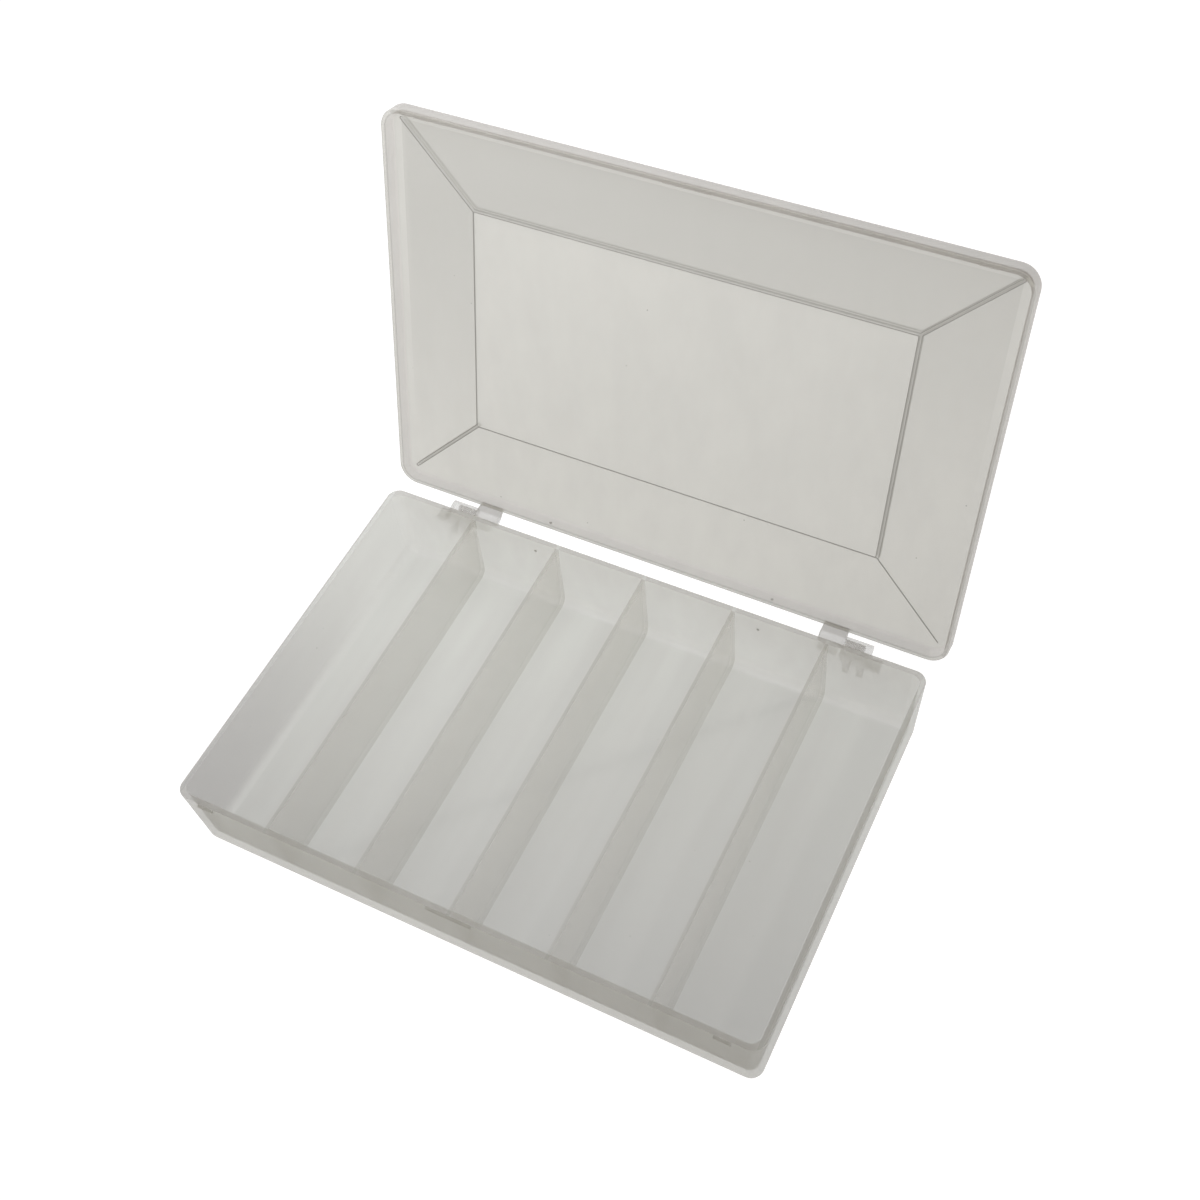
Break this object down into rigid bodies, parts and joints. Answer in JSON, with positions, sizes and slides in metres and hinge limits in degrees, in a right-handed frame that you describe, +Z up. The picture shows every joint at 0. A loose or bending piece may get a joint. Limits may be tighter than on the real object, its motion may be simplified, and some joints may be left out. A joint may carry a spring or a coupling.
{
  "type": "compartment storage box",
  "caption": "Shallow rectangular storage tray with long parallel compartments and a hipped lid that folds back on two snap hinges, in frosted translucent plastic.",
  "frame": {"origin": "centre of the tray's flat underside, on the surface that it stands on", "axes": "+X along the hinge line, to the right as seen from the front; +Y from the front wall to the hinges; +Z up"},
  "size_m": [0.2156, 0.1952, 0.17],
  "materials": {
    "frosted_polypropylene": "frosted translucent natural polypropylene, injection moulded, satin"
  },
  "bodies": {
    "tray": {"tray_shell": "frosted_polypropylene", "divider_1": "frosted_polypropylene", "divider_2": "frosted_polypropylene", "divider_3": "frosted_polypropylene", "divider_4": "frosted_polypropylene", "divider_5": "frosted_polypropylene", "hinge_bracket_left": "frosted_polypropylene", "hinge_bracket_right": "frosted_polypropylene"},
    "lid": {"lid_shell": "frosted_polypropylene", "hinge_arm_left": "frosted_polypropylene", "hinge_arm_right": "frosted_polypropylene"}
  },
  "joints": [
    {"name": "lid_hinge", "type": "hinge", "parent": "tray", "child": "lid", "pos_m": [0, 0.0765, 0.0254], "axis": [1, 0, 0], "range_deg": [0, 105]}
  ]
}
